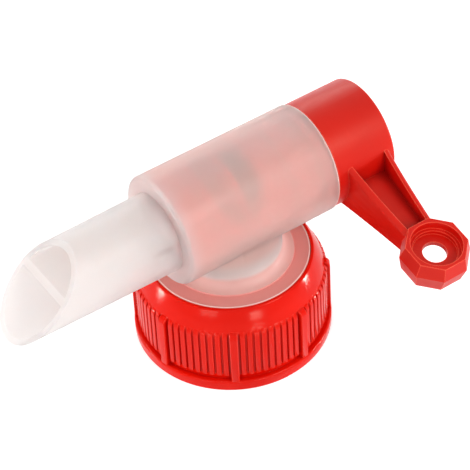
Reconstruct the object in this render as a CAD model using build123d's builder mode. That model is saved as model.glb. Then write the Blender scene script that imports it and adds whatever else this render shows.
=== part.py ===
"""Pouring tap for a plastic jerrycan: screw cap, tap body, valve plug and gasket.

Millimetres, +Z up. The origin is the centre of the cap's lower rim and +Z is the cap's axis. The
barrel lies along X, with the spout towards -X and the lever at the +X end, pointing towards -Y.
"""
import os
from math import atan2, cos, degrees, radians, sin, sqrt, tan

from build123d import *

# Screw cap
cap_height = 33.0
cap_bore_radius = 30.5
cap_wall = 1.8
cap_flange_overhang = 2.1
cap_flange_height = 4.0
cap_flange_round = 0.8
cap_foot_round = 0.3
cap_shoulder_height = 8.5
cap_shoulder_bulge = 0.35
cap_rim_land = 0.9
cap_rim_round = 0.8
cap_lip_thickness = 4.5
cap_seat_step = 1.2
cap_seat_gap = 0.5
cap_opening_clearance = 0.25

# Grip ribs of the cap
rib_sectors = 8
fine_ribs_per_sector = 9
wide_rib_share = 1.345
first_wide_rib_angle = -122.9
rib_gap = 0.7
fine_rib_depth = 0.9
wide_rib_depth = 1.9
rib_draft = 0.15
rib_embed = 0.4
rib_edge_chamfer = 0.25
fine_rib_lift = 2.15
rib_top_rise = 1.4
rib_top_fall = 2.3

# Seat disc, flange and neck of the tap body
disc_thickness = 2.4
flange_thickness = 2.8
flange_clearance = 0.4
flange_running_gap = 0.3
flange_step = 1.55
flange_wall = 2.6
neck_inset = 1.47
neck_wall = 2.2
neck_blend = 3.2
neck_land = 1.13
step_land = 0.9
step_height = 0.5
inlet_radius = 9.4
inlet_wall = 2.0
inlet_partition_thickness = 1.6

# Barrel and spout of the tap body
barrel_radius = 19.47
barrel_wall = 1.97
barrel_front = -26.8
barrel_back = 32.4
barrel_front_round = 1.6
barrel_back_round = 0.4
front_wall = 2.0
spout_root_radius = 14.0
spout_mouth_radius = 13.4
spout_wall = 1.7
mouth_centre = -72.9
mouth_angle = 45.6
spout_partition_lift = 3.1
spout_partition_thickness = 2.0

# Valve plug inside the barrel
plug_clearance = 0.1
plug_end_gap = 0.5
plug_relief = 1.6
plug_wall = 2.0
plug_front_land = 2.4
plug_back_land = 5.0
plug_back_land_inset = 9.9
plug_partition_thickness = 1.6
snap_ring_inset = 2.4
snap_ring_width = 1.6
snap_ring_height = 0.5
snap_groove_clearance = 0.2
port_centre = -2.5
port_margin = 0.2
port_reach_angle = 70.0
port_seal_width = 3.0

# Collar and lever of the valve plug
collar_gap = 0.3
collar_length = 23.2
collar_setback = 0.4
collar_end_round = 0.8
collar_end_wall = 2.4
lever_droop = 10.8
lever_front_inset = 3.6
lever_back_inset = 2.16
lever_tip_front = 6.1
lever_tip_back = 5.3
lever_wall = 2.1
lever_web = 2.0
lever_root_half_height = 9.2
lever_middle_half_height = 6.2
lever_tip_half_height = 4.5
lever_under_reach = 0.5
lever_top_round = 1.4
lever_under_round = 0.5

# Eight-sided ring at the lever's end, widest at its parting line
ring_inset = 12.3
ring_reach = 55.0
ring_flats = 19.8
ring_bulge = 1.3
ring_thickness = 11.0
ring_parting_lift = 0.5
ring_rim_width = 1.2
ring_step_width = 1.2
ring_socket_depth = 3.1
ring_floor = 1.8
ring_hole_radius = 4.15

# Gasket
gasket_thickness = 2.5
gasket_inner_clearance = 0.3

# Radii of the cap, and of the flange and disc that turn inside it
cap_skirt_radius = cap_bore_radius + cap_wall
cap_flange_radius = cap_skirt_radius + cap_flange_overhang
cap_seat_radius = cap_bore_radius - cap_seat_step
flange_radius = cap_seat_radius - flange_clearance
disc_radius = flange_radius - flange_step
cap_opening_radius = disc_radius + cap_opening_clearance
cap_rim_radius = cap_opening_radius + cap_rim_land

# Radii of the barrel, neck and plug
neck_radius = barrel_radius - neck_inset
neck_bore_radius = neck_radius - neck_wall
step_radius = neck_radius + neck_blend + step_land
barrel_bore_radius = barrel_radius - barrel_wall
plug_seal_radius = barrel_bore_radius - plug_clearance
plug_core_radius = plug_seal_radius - plug_relief
plug_bore_radius = plug_core_radius - plug_wall
snap_ring_radius = plug_seal_radius + snap_ring_height
port_radius = inlet_radius - port_margin
collar_radius = barrel_radius - collar_setback

# Heights along the cap's axis
cap_shoulder_start = cap_height - cap_shoulder_height
cap_lip_underside = cap_height - cap_lip_thickness
flange_top = cap_lip_underside - flange_running_gap
flange_bottom = flange_top - flange_thickness
neck_bottom = flange_bottom - gasket_thickness
cap_seat_height = neck_bottom - cap_seat_gap
step_top = cap_height + step_height
neck_blend_top = step_top + neck_blend
barrel_axis_height = neck_blend_top + neck_land + barrel_radius
port_bottom = plug_seal_radius * cos(radians(port_reach_angle))
plate_underside = -spout_partition_lift - spout_partition_thickness / 2

# Places along the barrel's axis
front_wall_inside = barrel_front + front_wall
spout_tip = mouth_centre - spout_root_radius / tan(radians(mouth_angle))
plug_front = front_wall_inside + plug_end_gap
plug_front_land_end = plug_front + plug_front_land
elbow_start = port_centre - plug_partition_thickness / 2
plug_back_land_end = barrel_back - plug_back_land_inset
plug_back_land_start = plug_back_land_end - plug_back_land
snap_ring_end = barrel_back - snap_ring_inset
snap_ring_start = snap_ring_end - snap_ring_width
collar_start = barrel_back + collar_gap
collar_end = collar_start + collar_length
lever_front_root = collar_start + lever_front_inset
lever_back_root = collar_end - lever_back_inset
ring_centre = collar_start + ring_inset
lever_front_tip = ring_centre - lever_tip_front
lever_back_tip = ring_centre + lever_tip_back

# Ring and lever, as distances from the barrel's axis or from the ring's own centre
ring_half = ring_thickness / 2
ring_flat = ring_flats / 2
ring_middle_flat = ring_flat + ring_bulge
ring_socket_radius = ring_flat - ring_rim_width
ring_seat_radius = ring_socket_radius - ring_step_width
lever_root = sqrt(collar_radius**2 - lever_root_half_height**2)
lever_start = plug_core_radius
lever_tip = ring_reach - ring_seat_radius
lever_middle = (lever_root + lever_tip) / 2

# Angles of the ribs, and the place where their tops run out on the shoulder
rib_sector_angle = 360 / rib_sectors
fine_rib_pitch = rib_sector_angle / (fine_ribs_per_sector + wide_rib_share)
wide_rib_pitch = wide_rib_share * fine_rib_pitch
shoulder_slope = (cap_skirt_radius - cap_rim_radius) / cap_shoulder_height
rib_top_radius = cap_skirt_radius - shoulder_slope * rib_top_rise
rib_top = cap_shoulder_start + rib_top_rise

# Frames of the barrel and of the plug, both with the barrel's axis as their x axis.
# In the plug's frame the lever points along -y and the port faces along z.
droop = radians(lever_droop)
barrel_frame = Plane(origin=(0, 0, barrel_axis_height), x_dir=(1, 0, 0), z_dir=(0, 0, 1))
plug_frame = Plane(
    origin=(0, 0, barrel_axis_height), x_dir=(1, 0, 0), z_dir=(0, -sin(droop), cos(droop))
)
barrel_axis = Axis((0, 0, barrel_axis_height), (1, 0, 0))
standing = (Align.CENTER, Align.MIN)
hanging = (Align.CENTER, Align.MAX)


def lengthwise(frame):
    """Plane through a frame's x and z axes, for a profile along the barrel."""
    return Plane(origin=frame.origin, x_dir=frame.x_dir, z_dir=-frame.y_dir)


def crosswise(frame, along):
    """Plane square to the barrel's axis at a distance along it, with the frame's y and z axes."""
    return Plane(origin=frame.origin + frame.x_dir * along, x_dir=frame.y_dir, z_dir=frame.x_dir)


def circles_of(part, radius):
    """Circular edges of a part that have the given radius, from the spout's end to the lever's."""
    circles = part.edges().filter_by(GeomType.CIRCLE)
    return circles.filter_by(lambda edge: round(edge.radius - radius, 3) == 0).sort_by(Axis.X)


def grip_rib(pitch, depth, start):
    """Upright grip rib on the +X side of the skirt, as wide as its pitch less the gap between ribs."""
    outer_radius = cap_skirt_radius + depth
    inner_radius = rib_top_radius - rib_embed
    width = radians(pitch) * outer_radius - rib_gap
    foot = (outer_radius, start)
    face_top = (outer_radius - rib_draft, rib_top - rib_top_fall)
    with BuildPart() as rib:
        with BuildSketch(Plane.XZ):
            with BuildLine():
                Polyline(
                    (rib_top_radius, rib_top),
                    (inner_radius, rib_top),
                    (inner_radius, start),
                    foot,
                    face_top,
                )
                lean = (face_top[0] - foot[0], face_top[1] - foot[1])
                TangentArc(face_top, (rib_top_radius, rib_top), tangent=lean)
            make_face()
        extrude(amount=width / 2, both=True)
        grip_face = rib.faces().sort_by(Axis.X)[-1]
        chamfer(grip_face.edges().sort_by(SortBy.LENGTH)[-2:], rib_edge_chamfer)
    return rib.part


fine_rib = grip_rib(fine_rib_pitch, fine_rib_depth, cap_flange_height + fine_rib_lift)
wide_rib = grip_rib(wide_rib_pitch, wide_rib_depth, cap_flange_height)

# Screw cap: a turned shell with a flange, a skirt that carries the ribs, and a slanting shoulder
with BuildPart() as screw_cap:
    with BuildSketch(Plane.XZ):
        with BuildLine():
            shoulder_foot = (cap_skirt_radius, cap_shoulder_start)
            shoulder_rim = (cap_rim_radius, cap_height)
            Polyline(
                shoulder_rim,
                (cap_opening_radius, cap_height),
                (cap_opening_radius, cap_lip_underside),
                (cap_seat_radius, cap_lip_underside),
                (cap_seat_radius, cap_seat_height),
                (cap_bore_radius, cap_seat_height),
                (cap_bore_radius, 0),
                (cap_flange_radius, 0),
                (cap_flange_radius, cap_flange_height),
                (cap_skirt_radius, cap_flange_height),
                shoulder_foot,
            )
            SagittaArc(shoulder_foot, shoulder_rim, -cap_shoulder_bulge)
        make_face()
    revolve(axis=Axis.Z)
    flange_rims = circles_of(screw_cap, cap_flange_radius).sort_by(Axis.Z)
    fillet(flange_rims[-1], cap_flange_round)
    fillet(flange_rims[0], cap_foot_round)
    fillet(circles_of(screw_cap, cap_rim_radius), cap_rim_round)
    with PolarLocations(0, rib_sectors, start_angle=first_wide_rib_angle):
        add(wide_rib)
    for place in range(fine_ribs_per_sector):
        after_wide_rib = wide_rib_pitch / 2 + (place + 0.5) * fine_rib_pitch
        with PolarLocations(0, rib_sectors, start_angle=first_wide_rib_angle + after_wide_rib):
            add(fine_rib)

# Ways of the flow through the body: the inlet and the spout are each parted into an air and a liquid side
with BuildPart() as inlet_ways:
    with BuildSketch(Plane.XY.offset(neck_bottom)):
        with Locations((port_centre, 0)):
            Circle(inlet_radius)
            Rectangle(inlet_partition_thickness, 2 * inlet_radius, mode=Mode.SUBTRACT)
    extrude(amount=barrel_axis_height - neck_bottom)

with BuildPart() as spout_ways:
    with BuildSketch(lengthwise(barrel_frame)):
        with BuildLine():
            Polyline(
                (spout_tip, 0),
                (spout_tip, spout_mouth_radius - spout_wall),
                (front_wall_inside, spout_root_radius - spout_wall),
                (front_wall_inside, 0),
                close=True,
            )
        make_face()
    revolve(axis=barrel_axis)
    with BuildSketch(crosswise(barrel_frame, spout_tip)):
        with Locations((0, spout_partition_lift)):
            Rectangle(2 * spout_root_radius, spout_partition_thickness)
    extrude(amount=front_wall_inside - spout_tip, mode=Mode.SUBTRACT)

# Tap body: seat disc, neck, barrel and spout in one moulding
with BuildPart() as tap_body:
    with BuildSketch(Plane.XZ):
        with BuildLine():
            blend_start = (neck_radius, neck_blend_top)
            blend_end = (neck_radius + neck_blend, step_top)
            TangentArc(blend_start, blend_end, tangent=(0, -1))
            Polyline(
                blend_end,
                (step_radius, step_top),
                (step_radius, cap_height),
                (disc_radius, cap_height),
                (disc_radius, flange_top),
                (flange_radius, flange_top),
                (flange_radius, flange_bottom),
                (disc_radius - flange_wall, flange_bottom),
                (disc_radius - flange_wall, cap_height - disc_thickness),
                (neck_radius, cap_height - disc_thickness),
                (neck_radius, neck_bottom),
                (neck_bore_radius, neck_bottom),
                (neck_bore_radius, barrel_axis_height),
                (neck_radius, barrel_axis_height),
                blend_start,
            )
        make_face()
    revolve(axis=Axis.Z)
    with BuildSketch(lengthwise(barrel_frame)):
        with BuildLine():
            Polyline(
                (spout_tip, 0),
                (spout_tip, spout_mouth_radius),
                (barrel_front, spout_root_radius),
                (barrel_front, barrel_radius),
                (barrel_back, barrel_radius),
                (barrel_back, 0),
                close=True,
            )
        make_face()
    revolve(axis=barrel_axis)
    fillet(circles_of(tap_body, barrel_radius)[0], barrel_front_round)
    fillet(circles_of(tap_body, barrel_radius)[-1], barrel_back_round)
    with BuildSketch(Plane.XY.offset(neck_bottom)):
        with Locations((port_centre, 0)):
            Circle(inlet_radius + inlet_wall)
    extrude(amount=barrel_axis_height - neck_bottom)
    add(inlet_ways.part, mode=Mode.SUBTRACT)
    with BuildSketch(lengthwise(barrel_frame)):
        with BuildLine():
            groove_radius = snap_ring_radius + snap_groove_clearance
            groove_start = snap_ring_start - snap_groove_clearance
            groove_end = snap_ring_end + snap_groove_clearance
            Polyline(
                (front_wall_inside, 0),
                (front_wall_inside, barrel_bore_radius),
                (groove_start, barrel_bore_radius),
                (groove_start, groove_radius),
                (groove_end, groove_radius),
                (groove_end, barrel_bore_radius),
                (barrel_back, barrel_bore_radius),
                (barrel_back, 0),
                close=True,
            )
        make_face()
    revolve(axis=barrel_axis, mode=Mode.SUBTRACT)
    add(spout_ways.part, mode=Mode.SUBTRACT)
    with BuildSketch(lengthwise(barrel_frame)):
        with BuildLine():
            mouth_lean = 1 / tan(radians(mouth_angle))
            above = 2 * spout_root_radius
            Polyline(
                (mouth_centre - above * mouth_lean, -above),
                (mouth_centre + above * mouth_lean, above),
                (mouth_centre - above * mouth_lean, above),
                close=True,
            )
        make_face()
    extrude(amount=above, both=True, mode=Mode.SUBTRACT)


def port_outline(radius):
    """Round-ended outline of the plug's port, seen along the lever, with the given half width."""
    with BuildSketch(lengthwise(plug_frame)) as outline:
        with Locations((port_centre, port_bottom + port_radius)):
            Circle(radius)
            Rectangle(2 * radius, plug_seal_radius, align=standing)
    return outline.sketch


# Raised sealing rim round the plug's port
with BuildPart() as port_seal:
    seal_reach = port_radius + port_seal_width
    with BuildSketch(crosswise(plug_frame, port_centre - seal_reach)):
        Circle(plug_seal_radius)
    extrude(amount=2 * seal_reach)
    extrude(port_outline(seal_reach), amount=plug_seal_radius, both=True, mode=Mode.INTERSECT)

# Two side walls of the lever, which close in and get lower towards the ring
with BuildPart() as lever_walls:
    with BuildSketch(plug_frame):
        with BuildLine():
            Polyline(
                (lever_front_root, -lever_start),
                (lever_front_root + lever_wall, -lever_start),
                (lever_front_tip + lever_wall, -lever_tip),
                (lever_front_tip, -lever_tip),
                close=True,
            )
        make_face()
        with BuildLine():
            Polyline(
                (lever_back_root, -lever_start),
                (lever_back_root - lever_wall, -lever_start),
                (lever_back_tip - lever_wall, -lever_tip),
                (lever_back_tip, -lever_tip),
                close=True,
            )
        make_face()
    extrude(amount=lever_root_half_height + lever_under_reach, both=True)
    with BuildSketch(crosswise(plug_frame, lever_front_root)):
        with BuildLine():
            root = (-lever_start, lever_root_half_height)
            middle = (-lever_middle, lever_middle_half_height)
            tip = (-lever_tip, lever_tip_half_height)
            under_root = (-lever_start, -lever_root_half_height - lever_under_reach)
            under_middle = (-lever_middle, -lever_middle_half_height - lever_under_reach)
            under_tip = (-lever_tip, -lever_tip_half_height)
            ThreePointArc(root, middle, tip)
            Line(tip, under_tip)
            ThreePointArc(under_tip, under_middle, under_root)
            Line(under_root, root)
        make_face()
    extrude(amount=lever_back_root - lever_front_root, mode=Mode.INTERSECT)
    long_edges = lever_walls.edges().sort_by(SortBy.LENGTH)[-8:].sort_by(Axis.X)
    outer_edges = (long_edges[:2] + long_edges[-2:]).sort_by(Axis.Z)
    fillet(outer_edges[-2:], lever_top_round)
    fillet(outer_edges[:2], lever_under_round)

# Valve plug: cored plug with its port and elbow partition, end collar, lever and eight-sided ring
with BuildPart() as valve_plug:
    with BuildSketch(lengthwise(plug_frame)):
        with BuildLine():
            Polyline(
                (plug_front, 0),
                (plug_front, plug_seal_radius),
                (plug_front_land_end, plug_seal_radius),
                (plug_front_land_end, plug_core_radius),
                (plug_back_land_start, plug_core_radius),
                (plug_back_land_start, plug_seal_radius),
                (plug_back_land_end, plug_seal_radius),
                (plug_back_land_end, plug_core_radius),
                (snap_ring_start, plug_core_radius),
                (snap_ring_start, snap_ring_radius),
                (snap_ring_end, snap_ring_radius),
                (snap_ring_end, plug_seal_radius),
                (collar_start, plug_seal_radius),
                (collar_start, collar_radius),
                (collar_end, collar_radius),
                (collar_end, 0),
                close=True,
            )
        make_face()
    revolve(axis=barrel_axis)
    fillet(circles_of(valve_plug, collar_radius)[-1], collar_end_round)
    add(port_seal.part)
    with BuildSketch(crosswise(plug_frame, plug_front)):
        Circle(plug_bore_radius)
    extrude(amount=collar_end - collar_end_wall - plug_front, mode=Mode.SUBTRACT)
    extrude(port_outline(port_radius), amount=plug_seal_radius, both=True, mode=Mode.SUBTRACT)
    with BuildSketch(crosswise(plug_frame, elbow_start)):
        Circle(plug_seal_radius)
        with Locations((0, port_bottom)):
            Rectangle(2 * plug_seal_radius, 2 * plug_seal_radius, align=hanging, mode=Mode.SUBTRACT)
        Circle(plug_core_radius)
        with Locations((0, plate_underside)):
            Rectangle(2 * plug_seal_radius, 2 * plug_seal_radius, align=hanging, mode=Mode.SUBTRACT)
    extrude(amount=plug_partition_thickness)
    with BuildSketch(crosswise(plug_frame, plug_front)):
        Circle(plug_core_radius)
        with Locations((0, -spout_partition_lift)):
            Rectangle(2 * plug_core_radius, spout_partition_thickness, mode=Mode.INTERSECT)
    extrude(amount=elbow_start + plug_partition_thickness - plug_front)
    add(lever_walls.part)
    with BuildSketch(plug_frame.offset(-lever_web / 2)):
        with BuildLine():
            Polyline(
                (lever_front_root + lever_wall / 2, -lever_start),
                (lever_back_root - lever_wall / 2, -lever_start),
                (lever_back_tip - lever_wall / 2, -lever_tip),
                (lever_front_tip + lever_wall / 2, -lever_tip),
                close=True,
            )
        make_face()
    extrude(amount=lever_web)
    for side in (-1, 1):
        taper_height = ring_half - side * ring_parting_lift
        with BuildSketch(plug_frame.offset(ring_parting_lift)):
            with Locations((ring_centre, -ring_reach)):
                RegularPolygon(ring_middle_flat, 8, major_radius=False, rotation=22.5)
        extrude(amount=side * taper_height, taper=degrees(atan2(ring_bulge, taper_height)))
    for side in (-1, 1):
        socket_floor = ring_floor / 2
        socket_step = ring_half - ring_socket_depth
        with BuildSketch(plug_frame.offset(side * socket_floor)):
            with Locations((ring_centre, -ring_reach)):
                Circle(ring_seat_radius)
        extrude(amount=side * (ring_half - socket_floor), mode=Mode.SUBTRACT)
        with BuildSketch(plug_frame.offset(side * socket_step)):
            with Locations((ring_centre, -ring_reach)):
                Circle(ring_socket_radius)
        extrude(amount=side * ring_socket_depth, mode=Mode.SUBTRACT)
    with BuildSketch(plug_frame.offset(-ring_half)):
        with Locations((ring_centre, -ring_reach)):
            Circle(ring_hole_radius)
    extrude(amount=ring_thickness, mode=Mode.SUBTRACT)

# Gasket: flat washer under the body's flange, round the lower end of the neck
with BuildPart() as cap_gasket:
    with BuildSketch(Plane.XY.offset(neck_bottom)):
        Circle(flange_radius)
        Circle(neck_radius + gasket_inner_clearance, mode=Mode.SUBTRACT)
    extrude(amount=gasket_thickness)

screw_cap.part.label = "screw_cap"
tap_body.part.label = "tap_body"
valve_plug.part.label = "valve_plug"
cap_gasket.part.label = "cap_gasket"

os.makedirs("parts", exist_ok=True)
export_step(screw_cap.part, "parts/screw_cap.step")
export_step(tap_body.part, "parts/tap_body.step")
export_step(valve_plug.part, "parts/valve_plug.step")
export_step(cap_gasket.part, "parts/cap_gasket.step")
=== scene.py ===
"""Dresses, lights and frames the pouring tap for a jerrycan, in metres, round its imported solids."""
import logging
from dataclasses import dataclass, field, replace
from enum import Enum
from math import cos, pi, radians, sin

import bmesh
import bpy
from mathutils import Matrix, Vector


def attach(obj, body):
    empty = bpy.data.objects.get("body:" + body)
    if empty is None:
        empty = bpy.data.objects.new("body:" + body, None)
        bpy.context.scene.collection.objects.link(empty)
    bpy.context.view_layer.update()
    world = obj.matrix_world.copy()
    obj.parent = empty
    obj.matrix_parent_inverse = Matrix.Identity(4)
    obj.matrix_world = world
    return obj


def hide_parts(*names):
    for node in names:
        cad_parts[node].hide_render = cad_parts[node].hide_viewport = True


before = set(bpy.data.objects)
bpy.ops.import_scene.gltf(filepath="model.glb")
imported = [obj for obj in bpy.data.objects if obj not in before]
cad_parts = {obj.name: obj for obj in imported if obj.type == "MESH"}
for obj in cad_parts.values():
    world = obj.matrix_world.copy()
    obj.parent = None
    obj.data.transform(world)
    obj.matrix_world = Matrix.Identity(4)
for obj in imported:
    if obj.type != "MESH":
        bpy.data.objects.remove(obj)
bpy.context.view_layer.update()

log = logging.getLogger("tap")

MM = 0.001
MIDDLE = Vector((0, 0, 30 * MM))

Triple = tuple[float, float, float]
Colour = Triple
Span = tuple[float, float]
Socket = bpy.types.NodeSocket


class Body(Enum):
    """Rigid bodies that the pieces ride on."""

    TAP = "tap"
    CAP = "cap"
    PLUG = "plug"


class Slot(Enum):
    """Material slots of the part's record."""

    CAP = "cap_plastic"
    BODY = "body_plastic"
    PLUG = "plug_plastic"
    GASKET = "gasket_rubber"


class ShaderSheet:
    """Node tree of one new material, with short calls that add and join its nodes.

    Attributes:
        PATTERN_MIDDLE: Values between which most of a noise pattern lies.
        EDGE_TURN: Cosines of the turn beside an edge, between which the edge sets in.
        OPEN_SHARE: Open shares above a face, between which a recess sets in.
        EDGE_RAYS: Rays that look for an edge.
        RECESS_RAYS: Rays that look for a recess.
    """

    PATTERN_MIDDLE: Span = (0.3, 0.7)
    EDGE_TURN: Span = (0.995, 0.90)
    OPEN_SHARE: Span = (0.85, 0.45)
    EDGE_RAYS: int = 6
    RECESS_RAYS: int = 8

    def __init__(self, name: str) -> None:
        """Starts a material that holds only a Principled shader and its output.

        Args:
            name: Name of the material.
        """
        self.material = bpy.data.materials.new(name)
        self.material.use_nodes = True
        self.nodes = self.material.node_tree.nodes
        self.links = self.material.node_tree.links
        self.surface = self.nodes["Principled BSDF"]
        self.place = self.nodes.new("ShaderNodeTexCoord").outputs["Object"]

    def set(self, **values: object) -> None:
        """Sets sockets of the Principled shader, whose names are written with underscores."""
        for key, value in values.items():
            self.surface.inputs[key.replace("_", " ")].default_value = value

    def noise(self, scale: float, detail: float = 2.0, stretch: Triple = (1, 1, 1)) -> Socket:
        """Adds a noise pattern on Object coordinates.

        Args:
            scale: Waves of the pattern in one metre.
            detail: Octaves of the pattern.
            stretch: Factors on the coordinates, under 1 to draw the pattern out.

        Returns:
            The socket with the pattern's value.
        """
        mapping = self.nodes.new("ShaderNodeMapping")
        mapping.inputs["Scale"].default_value = stretch
        self.links.new(self.place, mapping.inputs["Vector"])
        texture = self.nodes.new("ShaderNodeTexNoise")
        texture.inputs["Scale"].default_value = scale
        texture.inputs["Detail"].default_value = detail
        self.links.new(mapping.outputs["Vector"], texture.inputs["Vector"])
        return texture.outputs["Fac"]

    def ramp(self, value: Socket, given: Span, result: Span, soft: bool = False) -> Socket:
        """Maps one range of values to another.

        Args:
            value: The socket with the value.
            given: First and last value that come in.
            result: First and last value that go out.
            soft: Whether the ramp eases in and out.

        Returns:
            The socket with the mapped value.
        """
        node = self.nodes.new("ShaderNodeMapRange")
        if soft:
            node.interpolation_type = "SMOOTHSTEP"
        node.inputs["From Min"].default_value, node.inputs["From Max"].default_value = given
        node.inputs["To Min"].default_value, node.inputs["To Max"].default_value = result
        self.links.new(value, node.inputs["Value"])
        return node.outputs["Result"]

    def spread(self, pattern: Socket, low: float = 0.0, high: float = 1.0) -> Socket:
        """Maps a pattern's middle range to the range from low to high."""
        return self.ramp(pattern, self.PATTERN_MIDDLE, (low, high))

    def between(self, step: Socket, low: float, high: float) -> Socket:
        """Maps a step from 0 to 1 to the range from low to high."""
        return self.ramp(step, (0, 1), (low, high))

    def zone(self, length: Socket, span: Span) -> Socket:
        """Turns a length into a soft step, from 0 at the span's start to 1 at its end."""
        return self.ramp(length, span, (0, 1), soft=True)

    def along(self, axis: str) -> Socket:
        """Gives the place along X, Y or Z, in metres.

        Args:
            axis: Letter of the axis.

        Returns:
            The socket with the place.
        """
        split = self.nodes.new("ShaderNodeSeparateXYZ")
        self.links.new(self.place, split.inputs["Vector"])
        return split.outputs[axis]

    def from_axis(self) -> Socket:
        """Gives the distance from the cap's upright axis.

        Returns:
            The socket with the distance, in metres.
        """
        flat = self.nodes.new("ShaderNodeVectorMath")
        flat.operation = "MULTIPLY"
        flat.inputs[1].default_value = (1, 1, 0)
        length = self.nodes.new("ShaderNodeVectorMath")
        length.operation = "LENGTH"
        self.links.new(self.place, flat.inputs[0])
        self.links.new(flat.outputs["Vector"], length.inputs[0])
        return length.outputs["Value"]

    def edges(self, reach: float) -> Socket:
        """Finds the edges and the inner corners of a moulding, as the mask for painted highlights.

        Args:
            reach: Distance over which an edge counts, in metres.

        Returns:
            The socket with a value from 0 on the faces to 1 at the edges.
        """
        rounded = self.nodes.new("ShaderNodeBevel")
        rounded.samples = self.EDGE_RAYS
        rounded.inputs["Radius"].default_value = reach
        face = self.nodes.new("ShaderNodeNewGeometry")
        turn = self.nodes.new("ShaderNodeVectorMath")
        turn.operation = "DOT_PRODUCT"
        self.links.new(rounded.outputs["Normal"], turn.inputs[0])
        self.links.new(face.outputs["Normal"], turn.inputs[1])
        return self.zone(turn.outputs["Value"], self.EDGE_TURN)

    def recess(self, reach: float) -> Socket:
        """Finds the recesses of a moulding, by its own walls around them, as the mask for painted
        shade.

        Args:
            reach: Distance to the walls around that make a recess, in metres.

        Returns:
            The socket with a value from 0 on open faces to 1 in a deep recess.
        """
        shelter = self.nodes.new("ShaderNodeAmbientOcclusion")
        shelter.samples = self.RECESS_RAYS
        shelter.only_local = True
        shelter.inputs["Distance"].default_value = reach
        return self.zone(shelter.outputs["AO"], self.OPEN_SHARE)

    def product(self, first: Socket, second: Socket) -> Socket:
        """Multiplies two patterns.

        Args:
            first: The socket with the first pattern.
            second: The socket with the second.

        Returns:
            The socket with their product.
        """
        both = self.nodes.new("ShaderNodeMath")
        both.operation = "MULTIPLY"
        self.links.new(first, both.inputs[0])
        self.links.new(second, both.inputs[1])
        return both.outputs["Value"]

    def tint(self, pattern: Socket, low: Colour | Socket, high: Colour) -> Socket:
        """Blends two colours by a pattern.

        Args:
            pattern: The socket with the pattern.
            low: Linear colour at 0, or the socket with it.
            high: Linear colour at 1.

        Returns:
            The socket with the colour.
        """
        mix = self.nodes.new("ShaderNodeMix")
        mix.data_type = "RGBA"
        colours = {socket.identifier: socket for socket in mix.inputs}
        if isinstance(low, tuple):
            colours["A_Color"].default_value = (*low, 1)
        else:
            self.links.new(low, colours["A_Color"])
        colours["B_Color"].default_value = (*high, 1)
        self.links.new(pattern, colours["Factor_Float"])
        return next(out for out in mix.outputs if out.type == "RGBA")

    def drive(self, socket: str, value: Socket) -> None:
        """Joins a pattern to a socket of the Principled shader."""
        self.links.new(value, self.surface.inputs[socket])

    def relief(self, heights: list[tuple[Socket, float]]) -> None:
        """Adds bumps to the surface, one on the other.

        Args:
            heights: Pairs of a pattern and its height in metres.
        """
        normal = None
        for pattern, height in heights:
            bump = self.nodes.new("ShaderNodeBump")
            bump.inputs["Strength"].default_value = 1.0
            bump.inputs["Distance"].default_value = height
            self.links.new(pattern, bump.inputs["Height"])
            if normal is not None:
                self.links.new(normal, bump.inputs["Normal"])
            normal = bump.outputs["Normal"]
        self.drive("Normal", normal)


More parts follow.
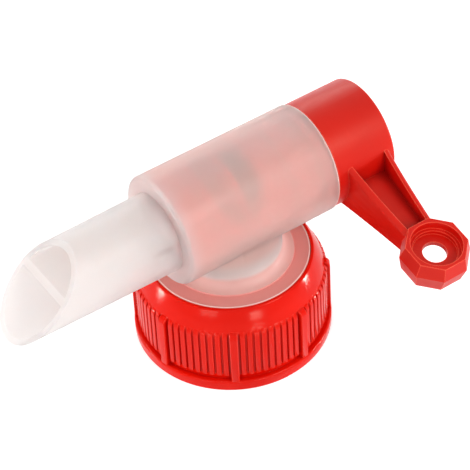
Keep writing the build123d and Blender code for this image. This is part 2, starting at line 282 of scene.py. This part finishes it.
@dataclass(frozen=True)
class MouldedRed:
    """Solid red moulded plastic, from glossy to satin, with painted highlights on its edges and inner
    corners and painted shade in its recesses.

    Attributes:
        name: Name of the material.
        light: Linear colour of the fresh areas.
        deep: Linear colour where the pigment lies thicker.
        sunk: Linear colour of the painted shade in the recesses.
        cover: Distance to the walls around that make a recess for the painted shade, in metres.
        shade_onset: Places along Y between which the recesses take on their painted shade.
        painted_edge_highlight: Linear colour of the edges and inner corners, a painted highlight.
        edge: Distance over which an edge gets its painted highlight, in metres.
        inner_glow: Share of the light that spreads inside the plastic.
        roughness: Lowest and highest roughness.
        shine: Specular level of the face.
        warmth: Linear tint of the shine.
        grain: Height of the fine mould texture, in metres.
        swell: Height of the slow waves that moulding leaves, in metres.
        scuff: Depth of the fine scratches of handling, in metres.
        index: Refractive index.
        glow_reach: How far each colour of light spreads inside, as shares of the next length.
        glow_length: That length, in metres.
        cloud_waves: Waves of the pigment's clouds in one metre.
        grain_waves: Waves of the mould texture in one metre.
        scuff_waves: Waves across the scratches in one metre.
        scuff_stretch: Factors that draw the scratches out.
        scuff_span: Lowest and highest part of the scratches, in shares of their depth.
        polish_waves: Waves of the roughness in one metre.
        swell_waves: Waves of the slow swell in one metre.
    """

    name: str
    light: Colour
    deep: Colour
    sunk: Colour
    cover: float
    shade_onset: Span
    painted_edge_highlight: Colour
    edge: float
    inner_glow: float
    roughness: Span
    shine: float
    warmth: Colour
    grain: float
    swell: float
    scuff: float
    index: float = 1.49
    glow_reach: Triple = (1.0, 0.2, 0.15)
    glow_length: float = 3 * MM
    cloud_waves: float = 60
    grain_waves: float = 2600
    scuff_waves: float = 900
    scuff_stretch: Triple = (1, 0.06, 0.3)
    scuff_span: Span = (-1.5, 1.5)
    polish_waves: float = 220
    swell_waves: float = 90

    def material(self) -> bpy.types.Material:
        """Makes the material.

        Returns:
            The new material.
        """
        sheet = ShaderSheet(self.name)
        sheet.set(
            IOR=self.index,
            Specular_IOR_Level=self.shine,
            Specular_Tint=(*self.warmth, 1),
            Subsurface_Weight=self.inner_glow,
            Subsurface_Radius=self.glow_reach,
            Subsurface_Scale=self.glow_length,
        )
        clouds = sheet.spread(sheet.noise(self.cloud_waves, detail=3))
        grain = sheet.noise(self.grain_waves)
        scratches = sheet.noise(self.scuff_waves, detail=4, stretch=self.scuff_stretch)
        face = sheet.tint(clouds, self.deep, self.light)
        # Edges and inner corners take a paler colour: a painted highlight.
        with_edge_highlight = sheet.tint(sheet.edges(self.edge), face, self.painted_edge_highlight)
        # Recesses take a darker colour, from a place along Y on: painted shade.
        shade_onset = sheet.zone(sheet.along("Y"), self.shade_onset)
        recess = sheet.product(sheet.recess(self.cover), shade_onset)
        sheet.drive("Base Color", sheet.tint(recess, with_edge_highlight, self.sunk))
        polish = sheet.noise(self.polish_waves, detail=3)
        sheet.drive("Roughness", sheet.spread(polish, *self.roughness))
        sheet.relief([
            (sheet.noise(self.swell_waves, detail=1), self.swell),
            (grain, self.grain),
            (sheet.spread(scratches, *self.scuff_span), self.scuff),
        ])
        return sheet.material


@dataclass(frozen=True)
class MilkyPlastic:
    """Natural translucent plastic, milky with a satin face, with painted red glow where red parts lie
    in or under it and painted light on the barrel's top and the neck.

    Attributes:
        name: Name of the material.
        clear: Linear colour of the clearer areas.
        cloudy: Linear colour of the milkier areas.
        painted_plug_glow: Linear tint of the barrel, a painted red glow where the red plug inside
            shows through.
        neck: Linear tint of the neck under the barrel, painted light, pale pink, that lifts it out of
            the barrel's shadow.
        foot: Linear tint of the neck's foot, a painted red glow from the red cap under it.
        glow: Linear tint of the disc's edge, a painted red glow from the red cap it sits in.
        passing: Share of the light that passes through the barrel's wall.
        dense: The same for the disc and the neck's foot, which look denser.
        scatter: Share of the held light that spreads inside the wall.
        index: Refractive index, low because the walls scatter more than they bend.
        roughness: Lowest and highest roughness of the wall.
        gloss: Weight of the smoother face.
        haze: Weight of the milky haze along the outlines.
        grain: Height of the fine mould texture, in metres.
        barrel_front: Places along X between which the barrel's painted red glow sets in.
        wall_foot: Heights between which the thin wall of neck and barrel begins.
        painted_pale_crown: Heights between which the barrel's painted red glow sets in, from its top
            down, so that the top stays paler as painted light.
        neck_drop: Heights between which the neck's painted light sets in, downwards.
        foot_drop: Heights between which the foot's and the disc edge's painted red glow set in,
            downwards.
        disc_edge: Distances from the axis between which the edge's painted red glow sets in.
        scatter_reach: How far each colour of light spreads, as shares of the next length.
        scatter_length: That length, in metres.
        haze_roughness: Roughness of the haze.
        face_index: Refractive index of the smoother face.
        face_roughness: Roughness of the smoother face.
        cloud_waves: Waves of the milky clouds in one metre.
        polish_waves: Waves of the roughness in one metre.
        grain_waves: Waves of the mould texture in one metre.
    """

    name: str
    clear: Colour
    cloudy: Colour
    painted_plug_glow: Colour
    neck: Colour
    foot: Colour
    glow: Colour
    passing: float
    dense: float
    scatter: float
    index: float
    roughness: Span
    gloss: float
    haze: float
    grain: float
    barrel_front: Span = (-29 * MM, -20 * MM)
    wall_foot: Span = (34 * MM, 40 * MM)
    painted_pale_crown: Span = (81 * MM, 73 * MM)
    neck_drop: Span = (45 * MM, 38.5 * MM)
    foot_drop: Span = (37.5 * MM, 35.5 * MM)
    disc_edge: Span = (21.7 * MM, 22.3 * MM)
    scatter_reach: Triple = (1.0, 0.75, 0.7)
    scatter_length: float = 7 * MM
    haze_roughness: float = 0.5
    face_index: float = 1.45
    face_roughness: float = 0.32
    cloud_waves: float = 70
    polish_waves: float = 150
    grain_waves: float = 2200

    def colour(self, sheet: ShaderSheet, wall: Socket) -> Socket:
        """Lays the painted red glow and painted light over the milky colour, each in its own place.

        Args:
            sheet: The material's sheet.
            wall: The socket that is 1 where the wall is thin, on neck and barrel.

        Returns:
            The socket with the colour.
        """
        above = sheet.along("Z")
        clouds = sheet.spread(sheet.noise(self.cloud_waves, detail=3))
        milk = sheet.tint(clouds, self.clear, self.cloudy)
        # Painted red glow on the barrel's thin wall, left out at its top, which stays paler as
        # painted light.
        barrel = sheet.product(sheet.zone(sheet.along("X"), self.barrel_front), wall)
        barrel = sheet.product(barrel, sheet.zone(above, self.painted_pale_crown))
        with_plug_glow = sheet.tint(barrel, milk, self.painted_plug_glow)
        # Painted light, pale pink, on the neck in the barrel's shadow.
        with_neck_light = sheet.tint(sheet.zone(above, self.neck_drop), with_plug_glow, self.neck)
        # Painted red glow from the red cap on the neck's foot.
        low = sheet.zone(above, self.foot_drop)
        with_foot_glow = sheet.tint(low, with_neck_light, self.foot)
        # Painted red glow from the red cap on the disc's edge.
        edge = sheet.product(sheet.zone(sheet.from_axis(), self.disc_edge), low)
        return sheet.tint(edge, with_foot_glow, self.glow)

    def material(self) -> bpy.types.Material:
        """Makes the material.

        Returns:
            The new material.
        """
        sheet = ShaderSheet(self.name)
        sheet.set(
            IOR=self.index,
            Subsurface_Weight=self.scatter,
            Subsurface_Radius=self.scatter_reach,
            Subsurface_Scale=self.scatter_length,
            Sheen_Weight=self.haze,
            Sheen_Roughness=self.haze_roughness,
            Coat_Weight=self.gloss,
            Coat_IOR=self.face_index,
            Coat_Roughness=self.face_roughness,
        )
        wall = sheet.zone(sheet.along("Z"), self.wall_foot)
        sheet.drive("Base Color", self.colour(sheet, wall))
        sheet.drive("Transmission Weight", sheet.between(wall, self.dense, self.passing))
        polish = sheet.noise(self.polish_waves, detail=3)
        sheet.drive("Roughness", sheet.spread(polish, *self.roughness))
        sheet.relief([(sheet.noise(self.grain_waves), self.grain)])
        return sheet.material


@dataclass(frozen=True)
class FoamRubber:
    """Pale soft washer material with a fine open grain.

    Attributes:
        name: Name of the material.
        light: Linear colour of the face.
        dark: Linear colour of the pores.
        roughness: Roughness of the face.
        pore_waves: Waves of the pores in one metre.
        pore_depth: Depth of the pores, in metres.
    """

    name: str
    light: Colour
    dark: Colour
    roughness: float = 0.85
    pore_waves: float = 1800
    pore_depth: float = 0.08 * MM

    def material(self) -> bpy.types.Material:
        """Makes the material.

        Returns:
            The new material.
        """
        sheet = ShaderSheet(self.name)
        sheet.set(Roughness=self.roughness)
        pores = sheet.noise(self.pore_waves, detail=3)
        sheet.drive("Base Color", sheet.tint(sheet.spread(pores), self.dark, self.light))
        sheet.relief([(pores, self.pore_depth)])
        return sheet.material


GLOSSY_RED = MouldedRed(
    name="glossy red",
    light=(0.82, 0.008, 0.002),
    deep=(0.75, 0.005, 0.001),
    # Darker colour of the recesses: painted shade.
    sunk=(0.60, 0.003, 0.001),
    cover=2 * MM,
    shade_onset=(-60 * MM, -50 * MM),
    # Paler colour of the edges and inner corners: a painted highlight.
    painted_edge_highlight=(1.0, 0.05, 0.025),
    edge=0.4 * MM,
    inner_glow=0.0,
    roughness=(0.12, 0.18),
    shine=0.17,
    warmth=(1.0, 0.86, 0.70),
    grain=0.003 * MM,
    swell=0.03 * MM,
    scuff=0.002 * MM,
)
SATIN_RED = MouldedRed(
    name="satin red",
    light=(0.72, 0.007, 0.002),
    deep=(0.65, 0.004, 0.001),
    # Darker colour of the recesses: painted shade.
    sunk=(0.42, 0.001, 0.001),
    cover=6 * MM,
    shade_onset=(-45 * MM, -42 * MM),
    # Paler colour of the edges and inner corners: a painted highlight.
    painted_edge_highlight=(1.0, 0.11, 0.06),
    edge=0.6 * MM,
    inner_glow=0.2,
    roughness=(0.34, 0.42),
    shine=0.40,
    warmth=(1.0, 0.82, 0.62),
    grain=0.008 * MM,
    swell=0.02 * MM,
    scuff=0.004 * MM,
)
MILKY = MilkyPlastic(
    name="milky plastic",
    clear=(0.96, 0.91, 0.89),
    cloudy=(0.98, 0.94, 0.925),
    # Painted red glow of the barrel.
    painted_plug_glow=(1.0, 0.72, 0.66),
    # Painted light of the neck.
    neck=(1.0, 0.92, 0.88),
    # Painted red glow of the foot.
    foot=(0.95, 0.55, 0.50),
    # Painted red glow of the disc's edge.
    glow=(1.0, 0.35, 0.31),
    passing=0.64,
    dense=0.12,
    scatter=0.35,
    index=1.12,
    roughness=(0.38, 0.45),
    gloss=0.35,
    haze=0.2,
    grain=0.006 * MM,
)
MILKY_EDGE = replace(
    MILKY,
    name="milky edge",
    # The beads' painted red glow, on the barrel's end and the disc's rim, paler than the shell's.
    painted_plug_glow=(1.0, 0.74, 0.68),
    glow=(1.0, 0.66, 0.60),
    passing=0.1,
    dense=0.0,
    scatter=0.0,
)
WASHER_FOAM = FoamRubber("washer foam", light=(0.75, 0.75, 0.73), dark=(0.60, 0.60, 0.58))


def new_piece(name: str, shape: bmesh.types.BMesh) -> bpy.types.Object:
    """Makes an object of a finished shape, at the origin, and frees the shape.

    Args:
        name: Name of the piece.
        shape: The shape, in the frame's own place.

    Returns:
        The new piece.
    """
    for face in shape.faces:
        face.smooth = True
    mesh = bpy.data.meshes.new(name)
    shape.to_mesh(mesh)
    shape.free()
    piece = bpy.data.objects.new(name, mesh)
    bpy.context.scene.collection.objects.link(piece)
    return piece


@dataclass
class Moulding:
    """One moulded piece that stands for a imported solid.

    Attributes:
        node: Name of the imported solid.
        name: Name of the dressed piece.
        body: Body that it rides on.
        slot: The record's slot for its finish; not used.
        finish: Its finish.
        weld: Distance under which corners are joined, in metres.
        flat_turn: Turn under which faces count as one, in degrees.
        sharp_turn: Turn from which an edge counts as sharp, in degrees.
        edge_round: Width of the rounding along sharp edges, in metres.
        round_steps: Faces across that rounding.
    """

    node: str
    name: str
    body: Body
    slot: Slot
    finish: MouldedRed | MilkyPlastic | FoamRubber
    weld: float = 0.002 * MM
    flat_turn: float = 0.2
    sharp_turn: float = 32.0
    edge_round: float = 0.2 * MM
    round_steps: int = 2

    def shell(self) -> bpy.types.Object:
        """Makes a welded, smooth-shaded copy of the solid with softly rounded edges.

        Returns:
            The new piece.
        """
        shape = bmesh.new()
        shape.from_mesh(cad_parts[self.node].data)
        bmesh.ops.remove_doubles(shape, verts=shape.verts, dist=self.weld)
        bmesh.ops.dissolve_limit(
            shape,
            angle_limit=radians(self.flat_turn),
            verts=shape.verts,
            edges=shape.edges,
        )
        piece = new_piece(self.name, shape)
        piece.data.materials.clear()
        piece.data.set_sharp_from_angle(angle=radians(self.sharp_turn))
        bevel = piece.modifiers.new("soft edges", "BEVEL")
        bevel.width = self.edge_round
        bevel.segments = self.round_steps
        bevel.limit_method = "ANGLE"
        bevel.angle_limit = radians(self.sharp_turn)
        bevel.harden_normals = True
        return piece

    def dress(self, piece: bpy.types.Object, material: bpy.types.Material) -> None:
        """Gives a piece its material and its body.

        Args:
            piece: The piece.
            material: Its material.
        """
        piece.data.materials.append(material)
        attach(piece, self.body.value)
        log.info("piece %s rides on %s", piece.name, self.body.value)

    def build(self) -> bpy.types.Material:
        """Builds and dresses the shell in the solid's place.

        Returns:
            The material, for further pieces of the same moulding.
        """
        piece = self.shell()
        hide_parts(self.node)
        material = self.finish.material()
        self.dress(piece, material)
        return material


@dataclass
class ScrewCap(Moulding):
    """Ribbed screw cap with the can's thread in its bore.

    Attributes:
        bore: Radius of the bore's wall.
        pitch: Rise of the thread in one turn.
        depth: How far the thread stands into the bore.
        root_width: Width of the thread at the wall.
        crest_width: Width of the thread at its top.
        sunk: How far the thread's foot goes into the wall.
        start: Height of the thread's lower end.
        turns: Turns of the thread.
        steps: Sections in one turn.
        lead_in: Share of a turn over which an end rises out of the wall.
    """

    node: str = "screw_cap"
    name: str = "cap_shell"
    body: Body = Body.CAP
    slot: Slot = Slot.CAP
    finish: MouldedRed = GLOSSY_RED
    bore: float = 30.5 * MM
    pitch: float = 6.0 * MM
    depth: float = 1.5 * MM
    root_width: float = 3.4 * MM
    crest_width: float = 1.6 * MM
    sunk: float = 0.4 * MM
    start: float = 4.0 * MM
    turns: float = 2.4
    steps: int = 72
    lead_in: float = 0.08

    def thread(self) -> bpy.types.Object:
        """Spins the thread's section up the bore, and lets both ends run out into the wall.

        Returns:
            The new piece.
        """
        shape = bmesh.new()
        wall = self.bore + self.sunk
        crest = self.bore - self.depth
        outline = (
            (wall, -self.root_width / 2),
            (crest, -self.crest_width / 2),
            (crest, self.crest_width / 2),
            (wall, self.root_width / 2),
        )
        corners = [shape.verts.new((reach, 0, self.start + rise)) for reach, rise in outline]
        section = shape.faces.new(corners)
        bmesh.ops.spin(
            shape,
            geom=[section, *section.edges, *section.verts],
            cent=(0, 0, 0),
            axis=(0, 0, 1),
            dvec=(0, 0, self.pitch / self.steps),
            angle=2 * pi * self.turns,
            steps=round(self.turns * self.steps),
        )
        bmesh.ops.recalc_face_normals(shape, faces=shape.faces)
        for vert in shape.verts:
            reach = Vector((vert.co.x, vert.co.y)).length
            if reach < self.bore:
                run = (vert.co.z - self.start) / self.pitch
                from_ends = min(run, self.turns - run) / self.lead_in
                rise = min(1.0, max(0.0, from_ends))
                vert.co.xy = vert.co.xy * ((wall - (wall - reach) * rise) / reach)
        piece = new_piece("cap_thread", shape)
        piece.data.set_sharp_from_angle(angle=radians(self.sharp_turn))
        return piece

    def build(self) -> bpy.types.Material:
        """Builds the cap's shell and its thread.

        Returns:
            Their material.
        """
        material = super().build()
        self.dress(self.thread(), material)
        return material


@dataclass
class TapBody(Moulding):
    """Barrel, spout, neck and disc, moulded in one from milky plastic.

    Attributes:
        disc_radius: Radius of the disc.
        disc_top: Height of the disc's face.
        barrel_radius: Radius of the barrel.
        barrel_back: Place of the barrel's end face along X.
        barrel_height: Height of the barrel's axis.
        bead: Thickness of the beads along both rims.
        bead_sides: Faces round a bead's section.
        bead_steps: Sections of a bead.
    """

    node: str = "tap_body"
    name: str = "body_shell"
    body: Body = Body.TAP
    slot: Slot = Slot.BODY
    finish: MilkyPlastic = MILKY
    disc_radius: float = 27.35 * MM
    disc_top: float = 33.0 * MM
    barrel_radius: float = 19.47 * MM
    barrel_back: float = 32.4 * MM
    barrel_height: float = 57.3 * MM
    bead: float = 0.45 * MM
    bead_sides: int = 12
    bead_steps: int = 144

    def bead_ring(self, name: str, radius: float, place: Matrix) -> bpy.types.Object:
        """Spins a thin round bead.

        Args:
            name: Name of the piece.
            radius: Outer radius of the ring.
            place: Turn and place of the ring, whose own axis is Z.

        Returns:
            The new piece.
        """
        shape = bmesh.new()
        upright = Matrix.Rotation(pi / 2, 4, "X")
        bmesh.ops.create_circle(
            shape,
            cap_ends=False,
            segments=self.bead_sides,
            radius=self.bead / 2,
            matrix=Matrix.Translation((radius - self.bead / 2, 0, 0)) @ upright,
        )
        bmesh.ops.spin(
            shape,
            geom=[*shape.verts, *shape.edges],
            cent=(0, 0, 0),
            axis=(0, 0, 1),
            angle=2 * pi,
            steps=self.bead_steps,
            use_merge=True,
        )
        bmesh.ops.remove_doubles(shape, verts=shape.verts, dist=self.weld)
        bmesh.ops.transform(shape, matrix=place, verts=shape.verts)
        bmesh.ops.recalc_face_normals(shape, faces=shape.faces)
        return new_piece(name, shape)

    def build(self) -> bpy.types.Material:
        """Builds the body's shell and the beads along the disc's rim and the barrel's end.

        Returns:
            The shell's material.
        """
        material = super().build()
        edge = MILKY_EDGE.material()
        disc = Matrix.Translation((0, 0, self.disc_top))
        end = Matrix.Translation((self.barrel_back - self.bead / 2, 0, self.barrel_height))
        turned = end @ Matrix.Rotation(pi / 2, 4, "Y")
        self.dress(self.bead_ring("disc_bead", self.disc_radius, disc), edge)
        self.dress(self.bead_ring("barrel_bead", self.barrel_radius, turned), edge)
        return material


@dataclass
class ValvePlug(Moulding):
    """Ported plug with its collar, its channelled lever and its eight-sided ring."""

    node: str = "valve_plug"
    name: str = "plug_and_lever"
    body: Body = Body.PLUG
    slot: Slot = Slot.PLUG
    finish: MouldedRed = SATIN_RED


@dataclass
class SealWasher(Moulding):
    """Soft washer between the disc and the can's neck."""

    node: str = "cap_gasket"
    name: str = "washer"
    body: Body = Body.TAP
    slot: Slot = Slot.GASKET
    finish: FoamRubber = WASHER_FOAM


@dataclass
class Camera:
    """The photograph's camera, turned and rolled as the picture shows.

    Attributes:
        aim: Point that the camera turns round.
        shift_right: Distance from that point to the middle of the picture, to the right.
        shift_up: The same, upwards.
        azimuth: Turn of the camera round the object, in degrees.
        elevation: Height of the camera above level, in degrees.
        roll: Turn of the picture, in degrees.
        distance: Distance from the middle of the picture.
        lens: Focal length on a 36 mm sensor, in millimetres.
        far: Distance up to which the camera sees.
    """

    aim: Vector = field(default_factory=MIDDLE.copy)
    shift_right: float = 1.8 * MM
    shift_up: float = 7.06 * MM
    azimuth: float = -32.42
    elevation: float = 44.37
    roll: float = -3.25
    distance: float = 712.2 * MM
    lens: float = 160.5
    far: float = 20.0

    def build(self) -> bpy.types.Object:
        """Makes the camera and sets it as the scene's.

        Returns:
            The camera.
        """
        turn = radians(self.azimuth)
        rise = radians(self.elevation)
        tilt = radians(self.roll)
        back = Vector((sin(turn) * cos(rise), -cos(turn) * cos(rise), sin(rise)))
        level = Vector((cos(turn), sin(turn), 0))
        upward = back.cross(level)
        right = level * cos(tilt) + upward * sin(tilt)
        up = upward * cos(tilt) - level * sin(tilt)
        place = self.aim + right * self.shift_right + up * self.shift_up + back * self.distance
        data = bpy.data.cameras.new("camera")
        data.lens = self.lens
        data.clip_end = self.far
        camera = bpy.data.objects.new("camera", data)
        camera.matrix_world = Matrix((
            (right.x, up.x, back.x, place.x),
            (right.y, up.y, back.y, place.y),
            (right.z, up.z, back.z, place.z),
            (0, 0, 0, 1),
        ))
        bpy.context.scene.collection.objects.link(camera)
        bpy.context.scene.camera = camera
        return camera


@dataclass(frozen=True)
class Lamp:
    """Square lamp that faces the object.

    Attributes:
        name: Name of the lamp.
        azimuth: Turn round the object from +X towards +Y, in degrees.
        elevation: Height above level, in degrees.
        power: Power in watts.
        size: Side, in metres.
        distance: Distance from the object, in metres.
    """

    name: str
    azimuth: float
    elevation: float
    power: float
    size: float
    distance: float = 1.5

    def build(self) -> bpy.types.Object:
        """Makes the lamp.

        Returns:
            The lamp.
        """
        turn = radians(self.azimuth)
        rise = radians(self.elevation)
        towards = Vector((cos(turn) * cos(rise), sin(turn) * cos(rise), sin(rise)))
        data = bpy.data.lights.new(self.name, "AREA")
        data.size = self.size
        data.energy = self.power
        lamp = bpy.data.objects.new(self.name, data)
        lamp.location = MIDDLE + towards * self.distance
        lamp.rotation_euler = towards.to_track_quat("Z", "Y").to_euler()
        bpy.context.scene.collection.objects.link(lamp)
        return lamp


LAMPS = (
    Lamp("left spot lamp", azimuth=149, elevation=2, power=8.8, size=0.19),
    Lamp("right spot lamp", azimuth=-26, elevation=2, power=8.3, size=0.19),
    Lamp("right back lamp", azimuth=58, elevation=24, power=2.8, size=0.6),
    Lamp("left back lamp", azimuth=122, elevation=35, power=2.9, size=0.5),
    Lamp("left front lamp", azimuth=-150, elevation=18, power=3.4, size=0.5),
    Lamp("low front lamp", azimuth=-97, elevation=8, power=2.9, size=0.3),
    Lamp("high front lamp", azimuth=-68, elevation=42, power=5.5, size=0.5),
)


@dataclass
class Studio:
    """Plain white studio: a pale floor, an even sky and soft lamps.

    Attributes:
        lamps: The lamps.
        floor_size: Side of the floor, in metres.
        floor_grey: Share of the light that the floor gives back.
        floor_roughness: Roughness of the floor, which mirrors the low lamps.
        floor_white: Light that the floor adds where the camera shows it.
        floor_mirrored: Light that it adds where a gloss or a clear wall shows it.
        sky_strength: Strength of the sky on the object.
    """

    lamps: tuple[Lamp, ...] = LAMPS
    floor_size: float = 6.0
    floor_grey: float = 0.82
    floor_roughness: float = 0.15
    floor_white: float = 0.62
    floor_mirrored: float = 0.40
    sky_strength: float = 0.53

    def seen(
        self,
        nodes: bpy.types.Nodes,
        links: bpy.types.NodeLinks,
        levels: dict[str, float],
    ) -> Socket:
        """Adds a value that depends on the kind of ray.

        Args:
            nodes: Nodes of the tree.
            links: Links of the tree.
            levels: The value for each output of the Light Path node; other rays get 0.

        Returns:
            The socket with the value.
        """
        path = nodes.new("ShaderNodeLightPath")
        most = None
        for name, level in levels.items():
            scaled = nodes.new("ShaderNodeMath")
            scaled.operation = "MULTIPLY"
            scaled.inputs[1].default_value = level
            links.new(path.outputs[name], scaled.inputs[0])
            value = scaled.outputs["Value"]
            if most is not None:
                both = nodes.new("ShaderNodeMath")
                both.operation = "MAXIMUM"
                links.new(most, both.inputs[0])
                links.new(value, both.inputs[1])
                value = both.outputs["Value"]
            most = value
        return most

    def build_floor(self) -> None:
        """Makes the pale floor, which keeps the object's shadow."""
        shape = bmesh.new()
        bmesh.ops.create_grid(shape, x_segments=1, y_segments=1, size=self.floor_size / 2)
        floor = new_piece("floor", shape)
        sheet = ShaderSheet("floor paint")
        grey = self.floor_grey
        sheet.set(Base_Color=(grey, grey, grey, 1), Roughness=self.floor_roughness)
        glow = sheet.nodes.new("ShaderNodeEmission")
        add = sheet.nodes.new("ShaderNodeAddShader")
        levels = {
            "Is Camera Ray": self.floor_white,
            "Is Glossy Ray": self.floor_mirrored,
            "Is Transmission Ray": self.floor_mirrored,
        }
        sheet.links.new(self.seen(sheet.nodes, sheet.links, levels), glow.inputs["Strength"])
        sheet.links.new(sheet.surface.outputs["BSDF"], add.inputs[0])
        sheet.links.new(glow.outputs["Emission"], add.inputs[1])
        sheet.links.new(add.outputs["Shader"], sheet.nodes["Material Output"].inputs["Surface"])
        floor.data.materials.append(sheet.material)

    def build_sky(self) -> None:
        """Makes the even sky, white wherever it is seen."""
        world = bpy.data.worlds.new("sky")
        bpy.context.scene.world = world
        world.use_nodes = True
        nodes = world.node_tree.nodes
        links = world.node_tree.links
        background = nodes["Background"]
        background.inputs["Color"].default_value = (1, 1, 1, 1)
        strength = nodes.new("ShaderNodeMapRange")
        strength.inputs["To Min"].default_value = self.sky_strength
        strength.inputs["To Max"].default_value = 1.0
        levels = {"Is Camera Ray": 1.0, "Is Glossy Ray": 1.0, "Is Transmission Ray": 1.0}
        links.new(self.seen(nodes, links, levels), strength.inputs["Value"])
        links.new(strength.outputs["Result"], background.inputs["Strength"])

    def build(self) -> None:
        """Makes the floor, the sky and the lamps."""
        self.build_floor()
        self.build_sky()
        for lamp in self.lamps:
            lamp.build()
            log.info("lamp %s", lamp.name)


def main() -> None:
    """Builds the camera, the studio and the dressed pieces."""
    logging.basicConfig(level=logging.INFO)
    bpy.context.scene.view_settings.view_transform = "Standard"
    Camera().build()
    Studio().build()
    for part in (ScrewCap(), TapBody(), ValvePlug(), SealWasher()):
        part.build()


if __name__ == "__main__":
    main()
